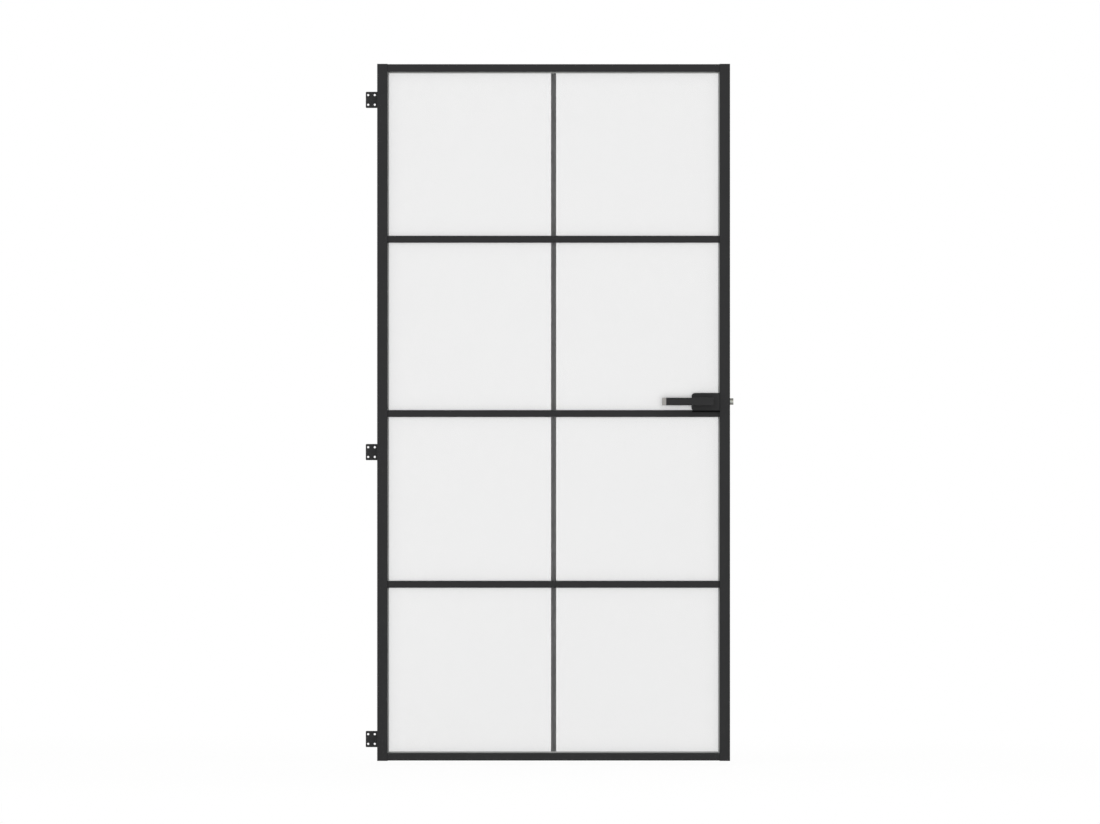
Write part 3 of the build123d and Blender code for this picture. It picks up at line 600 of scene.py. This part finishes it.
def pan_head(sizes, middle_x):
    """The shape of a pan-head screw whose head faces away from the leaf's middle."""

    def draw(bm, low, high):
        radius = (high.z - low.z) / 2
        reach = high.x - low.x
        head = sizes.pan_height
        core = sizes.screw_core
        pitch = sizes.thread_pitch
        shoulders = zip(PAN_SHOULDER_SHARES, PAN_DROP_SHARES)
        rings = (
            *((radius * width, -sizes.pan_rim * drop) for width, drop in shoulders),
            (radius, -sizes.pan_rim),
            (radius, -head),
            (core, -head),
            (core, -reach + core),
            (core * SCREW_TIP_SHARE, -reach),
        )
        turned_body(bm, cross_recess(bm, sizes), rings)
        thread_end = -reach + PAN_SCREW_BARE_TURNS * pitch
        thread(bm, core, sizes.screw_thread, -head - pitch, thread_end, pitch)
        return Vector((-1 if low.x < middle_x else 1, 0, 0))

    return draw


def countersunk(sizes):
    """The shape of a countersunk screw whose head faces the rear."""

    def draw(bm, low, high):
        radius = (high.x - low.x) / 2
        reach = high.y - low.y
        edge = sizes.head_edge
        core = sizes.screw_core
        pitch = sizes.thread_pitch
        neck = radius - core
        rings = (
            (radius - 2 * edge, 0),
            (radius - edge, -edge),
            (core, -neck),
            (core, -reach + core),
            (core * SCREW_TIP_SHARE, -reach),
        )
        turned_body(bm, cross_recess(bm, sizes), rings)
        thread_end = -reach + COUNTERSUNK_BARE_TURNS * pitch
        thread(bm, core, sizes.screw_thread, -neck - pitch, thread_end, pitch)
        return Vector((0, 1, 0))

    return draw


def set_screw(sizes):
    """The shape of a hex-socket set screw whose socket faces down."""

    def draw(bm, low, high):
        radius = (high.x - low.x) / 2
        reach = high.z - low.z
        edge = sizes.head_edge
        half_pitch = sizes.grub_pitch / 2
        core = radius - half_pitch
        rings = (
            (core - edge, 0),
            (core, -edge),
            (core, -reach + 2 * edge),
            (core * SET_SCREW_TIP_SHARE, -reach),
        )
        turned_body(bm, hex_socket(bm, sizes), rings)
        thread(bm, core, radius, -half_pitch, -reach + half_pitch, sizes.grub_pitch)
        return Vector((0, 0, -1))

    return draw


def finish_mesh(name, bm, material, body, node=None):
    """Turn a bmesh into an object that rides a body, takes a slot and may replace a node."""
    for face in bm.faces:
        face.smooth = True
    for edge in bm.edges:
        edge.smooth = not edge.is_manifold or edge.calc_face_angle() < CREASE
    mesh = bpy.data.meshes.new(name)
    bm.to_mesh(mesh)
    bm.free()
    mesh.materials.append(material)
    piece = bpy.data.objects.new(name, mesh)
    bpy.context.scene.collection.objects.link(piece)
    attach(piece, body)
    if node:
        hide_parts(node)
    return piece


def screw_group(name, node, shape, material, body):
    """One object with a screw for each solid of a CAD node, which it replaces.

    shape draws one screw for a solid's box, with its drive on Z 0, and gives the axis that the drive
    faces. Each screw stops at its own turn, as screws do.
    """
    group = bmesh.new()
    for number, (low, high) in enumerate(solid_boxes(node)):
        bm = bmesh.new()
        facing = shape(bm, low, high)
        bmesh.ops.remove_doubles(bm, verts=bm.verts, dist=SCREW_WELD)
        bmesh.ops.recalc_face_normals(bm, faces=bm.faces)
        middle = (low + high) / 2
        reach = (high - low) / 2
        seat = middle + Vector(step * size for step, size in zip(facing, reach))
        turn = Matrix.Rotation(GOLDEN_TURN * number, 4, "Z")
        stand = facing.to_track_quat("Z", "Y").to_matrix().to_4x4()
        bmesh.ops.transform(bm, matrix=Matrix.Translation(seat) @ stand @ turn, verts=bm.verts)
        screw = bpy.data.meshes.new(name)
        bm.to_mesh(screw)
        bm.free()
        group.from_mesh(screw)
        bpy.data.meshes.remove(screw)
    finish_mesh(name, group, material, body, node)


class DOOR_OT_frame(bpy.types.Operator):
    """Coat the stiles, rails and crossbars, and finish the caps on the stile ends"""

    bl_idname = "door.frame"
    bl_label = "Frame and caps"

    def execute(self, context):
        colours = context.scene.door_colours
        strips = [f"{row}_strip" for row in ROWS]
        dress(powder_coat(colours.powder), *FRAME_BARS, *strips)
        dress(moulded_plastic(colours.black_plastic), *STILE_CAPS)
        return {"FINISHED"}


class DOOR_OT_glazing(bpy.types.Operator):
    """Etch the panes and finish their gaskets"""

    bl_idname = "door.glazing"
    bl_label = "Panes and gaskets"

    def execute(self, context):
        colours = context.scene.door_colours
        low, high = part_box(f"{ROWS[0]}_glass")
        glass = acid_etched_glass(colours.glass, (low.y + high.y) / 2)
        dress(glass, *[f"{row}_glass" for row in ROWS])
        dress(epdm_rubber(colours.gasket), *[f"{row}_gasket" for row in ROWS])
        return {"FINISHED"}


class DOOR_OT_frame_screws(bpy.types.Operator):
    """Make the pan-head screws that draw the crossbars and rails against the stiles"""

    bl_idname = "door.frame_screws"
    bl_label = "Frame screws"

    def execute(self, context):
        low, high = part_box("lower_glass")
        screw_group(
            "pan_head_frame_screws",
            "frame_screws",
            pan_head(context.scene.door_fasteners, (low.x + high.x) / 2),
            zinc_plate(context.scene.door_colours.zinc),
            "leaf",
        )
        return {"FINISHED"}


class DOOR_OT_hinges(bpy.types.Operator):
    """Coat the hinge leaves and finish their pins and washers"""

    bl_idname = "door.hinges"
    bl_label = "Hinges"

    def execute(self, context):
        colours = context.scene.door_colours
        leaves = [f"{hinge}_hinge_{side}_leaf" for hinge in HINGES for side in ("wall", "door")]
        dress(powder_coat(colours.hinge_coat, "hinge_powder_coat"), *leaves)
        dress(black_oxide(colours.black_oxide), *[f"{hinge}_hinge_pin" for hinge in HINGES])
        dress(moulded_plastic(colours.black_plastic), "hinge_washers")
        return {"FINISHED"}


class DOOR_OT_hinge_screws(bpy.types.Operator):
    """Make the countersunk screws that hold the hinge leaves to the stile"""

    bl_idname = "door.hinge_screws"
    bl_label = "Hinge screws"

    def execute(self, context):
        screw_group(
            "countersunk_hinge_screws",
            "hinge_screws",
            countersunk(context.scene.door_fasteners),
            black_oxide(context.scene.door_colours.black_oxide),
            "leaf",
        )
        return {"FINISHED"}


class DOOR_OT_lock(bpy.types.Operator):
    """Lacquer the lock covers and finish the pads, bushes and chassis inside them"""

    bl_idname = "door.lock"
    bl_label = "Lock case"

    def execute(self, context):
        colours = context.scene.door_colours
        dress(satin_lacquer(colours.lacquer), *[f"{side}_lock_cover" for side in SIDES])
        dress(sheet_rubber(colours.pad), *[f"{side}_lock_pad" for side in SIDES])
        dress(moulded_plastic(colours.black_plastic), *[f"{side}_lever_bush" for side in SIDES])
        dress(zinc_plate(colours.zinc), "lock_chassis", "chassis_lid")
        return {"FINISHED"}


class DOOR_OT_lock_screws(bpy.types.Operator):
    """Make the countersunk screws that clamp the two lock covers together"""

    bl_idname = "door.lock_screws"
    bl_label = "Lock screws"

    def execute(self, context):
        screw_group(
            "countersunk_lock_screws",
            "lock_case_screws",
            countersunk(context.scene.door_fasteners),
            black_oxide(context.scene.door_colours.black_oxide),
            "leaf",
        )
        return {"FINISHED"}


class DOOR_OT_lock_shadow_strips(bpy.types.Operator):
    """Make near-black strips round the lower edges of the lock covers, on the crossbar's faces, as a painted
    shadow
    """

    bl_idname = "door.lock_seals"
    bl_label = "Lock seals"

    def execute(self, context):
        trim = context.scene.door_trim
        bar_front, bar_rear = (corner.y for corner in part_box("middle_crossbar"))
        bm = bmesh.new()
        for side in SIDES:
            low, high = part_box(f"{side}_lock_cover")
            if side == "front":
                outward, cover_face, bar_face = -1, low.y, bar_front
            else:
                outward, cover_face, bar_face = 1, high.y, bar_rear
            back = bar_face + outward * trim.shadow_strip_gap
            inner = cover_face + outward * trim.shadow_strip_gap
            outer = inner + outward * trim.shadow_strip_wall
            shelf = low.z - trim.shadow_strip_gap
            foot = shelf - trim.shadow_strip_height
            crest = low.z + trim.shadow_strip_lip
            section = (
                (back, foot),
                (outer, foot),
                (outer, crest),
                (inner, crest),
                (inner, shelf),
                (back, shelf),
            )
            left = low.x + trim.shadow_strip_end
            outline = bm.faces.new([bm.verts.new((left, depth, height)) for depth, height in section])
            drawn = bmesh.ops.extrude_face_region(bm, geom=[outline])["geom"]
            far_end = [item for item in drawn if isinstance(item, bmesh.types.BMVert)]
            bmesh.ops.translate(bm, vec=(high.x - left, 0, 0), verts=far_end)
        bmesh.ops.bevel(
            bm,
            geom=bm.edges[:],
            offset=trim.shadow_strip_edge,
            offset_type="OFFSET",
            affect="EDGES",
            segments=SHADOW_STRIP_EDGE_STEPS,
            profile=0.5,
            material=-1,
        )
        bmesh.ops.recalc_face_normals(bm, faces=bm.faces)
        material = shadow_strip_black(context.scene.door_colours.shadow_strip)
        finish_mesh("lock_seals", bm, material, "leaf")
        return {"FINISHED"}


class DOOR_OT_levers(bpy.types.Operator):
    """Lacquer the levers, brush their tips and finish the spindle and follower that they turn"""

    bl_idname = "door.levers"
    bl_label = "Levers"

    def execute(self, context):
        colours = context.scene.door_colours
        dress(satin_lacquer(colours.lacquer), *[f"{side}_lever" for side in SIDES])
        dress(brushed_stainless(colours.stainless), *[f"{side}_lever_tip" for side in SIDES])
        dress(spring_steel(colours.spring), "spindle", "follower")
        return {"FINISHED"}


class DOOR_OT_set_screws(bpy.types.Operator):
    """Make the hex-socket set screws under the lever necks"""

    bl_idname = "door.set_screws"
    bl_label = "Set screws"

    def execute(self, context):
        screw_group(
            "hex_socket_set_screws",
            "lever_grub_screws",
            set_screw(context.scene.door_fasteners),
            black_oxide(context.scene.door_colours.black_oxide),
            "lever_set",
        )
        return {"FINISHED"}


class DOOR_OT_latch(bpy.types.Operator):
    """Plate the latch bolt and finish its strip and guide"""

    bl_idname = "door.latch"
    bl_label = "Latch"

    def execute(self, context):
        colours = context.scene.door_colours
        dress(satin_nickel(colours.nickel), "latch_bolt")
        dress(pale_nylon(colours.pale_nylon), "latch_insert")
        dress(moulded_plastic(colours.black_plastic), "latch_guide")
        return {"FINISHED"}


class DOOR_OT_latch_spring(bpy.types.Operator):
    """Wind the coil spring behind the latch"""

    bl_idname = "door.latch_spring"
    bl_label = "Latch spring"

    def execute(self, context):
        trim = context.scene.door_trim
        low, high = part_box("latch_spring")
        centre = (low + high) / 2
        coil_radius = (high.z - low.z) / 2 - trim.spring_wire
        run = high.x - low.x - 2 * trim.spring_wire
        steps = trim.spring_turns * SPRING_STEPS
        start = Vector((low.x + trim.spring_wire, centre.y, centre.z + coil_radius))
        bm = bmesh.new()
        bmesh.ops.create_circle(
            bm,
            cap_ends=True,
            segments=WIRE_SIDES,
            radius=trim.spring_wire,
            matrix=Matrix.Translation(start) @ Matrix.Rotation(QUARTER_TURN, 4, "X"),
        )
        spun = bmesh.ops.spin(
            bm,
            geom=bm.verts[:] + bm.edges[:],
            cent=centre,
            axis=(1, 0, 0),
            dvec=(run / steps, 0, 0),
            angle=2 * math.pi * trim.spring_turns,
            steps=steps,
        )
        last = [item for item in spun["geom_last"] if isinstance(item, bmesh.types.BMEdge)]
        bmesh.ops.edgeloop_fill(bm, edges=last)
        bmesh.ops.recalc_face_normals(bm, faces=bm.faces)
        material = spring_steel(context.scene.door_colours.spring)
        spring = finish_mesh("coil_latch_spring", bm, material, "leaf", "latch_spring")
        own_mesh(spring)
        return {"FINISHED"}


def seen_rays(tree):
    """1 for the rays that show the background: the camera's, and those reflected or let through."""
    rays = add_node(tree, "ShaderNodeLightPath").outputs
    looked = {0: rays["Is Camera Ray"], 1: rays["Is Glossy Ray"]}
    mirrored = add_node(tree, "ShaderNodeMath", {"operation": "MAXIMUM"}, looked)
    passed = {0: mirrored.outputs["Value"], 1: rays["Is Transmission Ray"]}
    return add_node(tree, "ShaderNodeMath", {"operation": "MAXIMUM"}, passed).outputs["Value"]


def white_world(ambient):
    """A world that looks white, and lights the object at the ambient level."""
    world = bpy.data.worlds.new("studio_white")
    world.use_nodes = True
    tree = world.node_tree
    levels = {"To Min": ambient, "To Max": 1}
    strength = add_node(tree, "ShaderNodeMapRange", levels, {"Value": seen_rays(tree)})
    background = tree.nodes["Background"]
    background.inputs["Color"].default_value = (1, 1, 1, 1)
    tree.links.new(strength.outputs["Result"], background.inputs["Strength"])
    return world


def studio_floor(studio, height):
    """A wide pale floor that looks nearly white and still takes the door's soft shadow."""
    material = bpy.data.materials.new("pale_floor")
    material.use_nodes = True
    tree = material.node_tree
    shader = tree.nodes["Principled BSDF"]
    shader.inputs["Base Color"].default_value = (*studio.floor_colour, 1)
    shader.inputs["Roughness"].default_value = 0.9
    shader.inputs["Specular IOR Level"].default_value = 0
    place = add_node(tree, "ShaderNodeTexCoord").outputs["Object"]
    away = add_node(tree, "ShaderNodeVectorMath", {"operation": "LENGTH"}, {0: place})
    fade = {
        "interpolation_type": "SMOOTHSTEP",
        "From Min": studio.shadow_reach,
        "From Max": studio.white_reach,
        "To Min": studio.shadow_glow,
        "To Max": 1,
    }
    glow_share = add_node(tree, "ShaderNodeMapRange", fade, {"Value": away.outputs["Value"]})
    shown = {0: seen_rays(tree), 1: glow_share.outputs["Result"]}
    share = add_node(tree, "ShaderNodeMath", {"operation": "MULTIPLY"}, shown)
    glow = add_node(tree, "ShaderNodeEmission")
    layers = {0: share.outputs["Value"], 1: shader.outputs["BSDF"], 2: glow.outputs["Emission"]}
    mixed = add_node(tree, "ShaderNodeMixShader", None, layers)
    tree.links.new(mixed.outputs["Shader"], tree.nodes["Material Output"].inputs["Surface"])
    bm = bmesh.new()
    bmesh.ops.create_grid(bm, x_segments=1, y_segments=1, size=studio.floor_size / 2)
    bmesh.ops.translate(bm, vec=(0, 0, height), verts=bm.verts)
    mesh = bpy.data.meshes.new("floor")
    bm.to_mesh(mesh)
    bm.free()
    mesh.materials.append(material)
    return bpy.data.objects.new("floor", mesh)


def soft_light(name, power, size, place, target):
    """A square area light that looks at a point, and isn't seen in metal or through glass."""
    lamp = bpy.data.lights.new(name, "AREA")
    lamp.energy = power
    lamp.size = size
    light = bpy.data.objects.new(name, lamp)
    light.location = place
    light.rotation_euler = (target - place).to_track_quat("-Z", "Y").to_euler()
    light.visible_glossy = False
    light.visible_transmission = False
    return light


class DOOR_OT_stage(bpy.types.Operator):
    """Set up the pale floor, the soft studio light and the photograph's camera"""

    bl_idname = "door.stage"
    bl_label = "Stage"

    def execute(self, context):
        scene = context.scene
        studio = scene.door_studio
        left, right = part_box("hinge_stile")[0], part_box("lock_stile")[1]
        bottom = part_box("hinge_stile_bottom_cap")[0].z
        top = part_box("hinge_stile_top_cap")[1].z
        middle = Vector(((left.x + right.x) / 2, (left.y + right.y) / 2, (bottom + top) / 2))
        metres_per_pixel = (right.x - left.x) / (LEAF_RIGHT_PX - LEAF_LEFT_PX)
        view_x = left.x + (PHOTO_WIDTH / 2 - LEAF_LEFT_PX) * metres_per_pixel
        view_z = bottom + (LEAF_BOTTOM_PX - PHOTO_HEIGHT / 2) * metres_per_pixel

        lens = bpy.data.cameras.new("camera")
        lens.sensor_fit = "HORIZONTAL"
        lens.lens = lens.sensor_width * studio.distance / (PHOTO_WIDTH * metres_per_pixel)
        camera = bpy.data.objects.new("camera", lens)
        camera.location = (view_x, left.y - studio.distance, view_z)
        camera.rotation_euler = (QUARTER_TURN, 0, 0)
        scene.camera = camera

        floor = studio_floor(studio, bottom - studio.floor_gap)
        lights = (
            ("key_light", studio.key_power, studio.key_place),
            ("fill_light", studio.fill_power, studio.fill_place),
            ("back_light", studio.back_power, studio.back_place),
        )
        lamps = [
            soft_light(name, power, studio.light_size, middle + Vector(place), middle)
            for name, power, place in lights
        ]
        for item in (camera, floor, *lamps):
            scene.collection.objects.link(item)
        scene.world = white_world(studio.ambient)
        scene.view_settings.view_transform = "Standard"
        return {"FINISHED"}


OPERATORS = (
    DOOR_OT_frame,
    DOOR_OT_glazing,
    DOOR_OT_frame_screws,
    DOOR_OT_hinges,
    DOOR_OT_hinge_screws,
    DOOR_OT_lock,
    DOOR_OT_lock_screws,
    DOOR_OT_lock_shadow_strips,
    DOOR_OT_levers,
    DOOR_OT_set_screws,
    DOOR_OT_latch,
    DOOR_OT_latch_spring,
    DOOR_OT_stage,
)


class DOOR_PT_sidebar(bpy.types.Panel):
    """Lists the door's pieces, sizes and colours"""

    bl_idname = "DOOR_PT_sidebar"
    bl_label = "Glass door"
    bl_space_type = "VIEW_3D"
    bl_region_type = "UI"
    bl_category = "Glass door"

    def draw(self, context):
        scene = context.scene
        for group in (scene.door_colours, scene.door_fasteners, scene.door_trim, scene.door_studio):
            box = self.layout.box()
            for label in group.__annotations__:
                box.prop(group, label)
        for operator in OPERATORS:
            self.layout.operator(operator.bl_idname)


CLASSES = (DoorColours, DoorFasteners, DoorTrim, DoorStudio, *OPERATORS, DOOR_PT_sidebar)


def register():
    for kind in CLASSES:
        bpy.utils.register_class(kind)
    bpy.types.Scene.door_colours = bpy.props.PointerProperty(type=DoorColours)
    bpy.types.Scene.door_fasteners = bpy.props.PointerProperty(type=DoorFasteners)
    bpy.types.Scene.door_trim = bpy.props.PointerProperty(type=DoorTrim)
    bpy.types.Scene.door_studio = bpy.props.PointerProperty(type=DoorStudio)


def unregister():
    del bpy.types.Scene.door_studio
    del bpy.types.Scene.door_trim
    del bpy.types.Scene.door_fasteners
    del bpy.types.Scene.door_colours
    for kind in reversed(CLASSES):
        bpy.utils.unregister_class(kind)


def main():
    register()
    bpy.ops.door.frame()
    bpy.ops.door.glazing()
    bpy.ops.door.frame_screws()
    bpy.ops.door.hinges()
    bpy.ops.door.hinge_screws()
    bpy.ops.door.lock()
    bpy.ops.door.lock_screws()
    bpy.ops.door.lock_seals()
    bpy.ops.door.levers()
    bpy.ops.door.set_screws()
    bpy.ops.door.latch()
    bpy.ops.door.latch_spring()
    bpy.ops.door.stage()


if __name__ == "__main__":
    main()
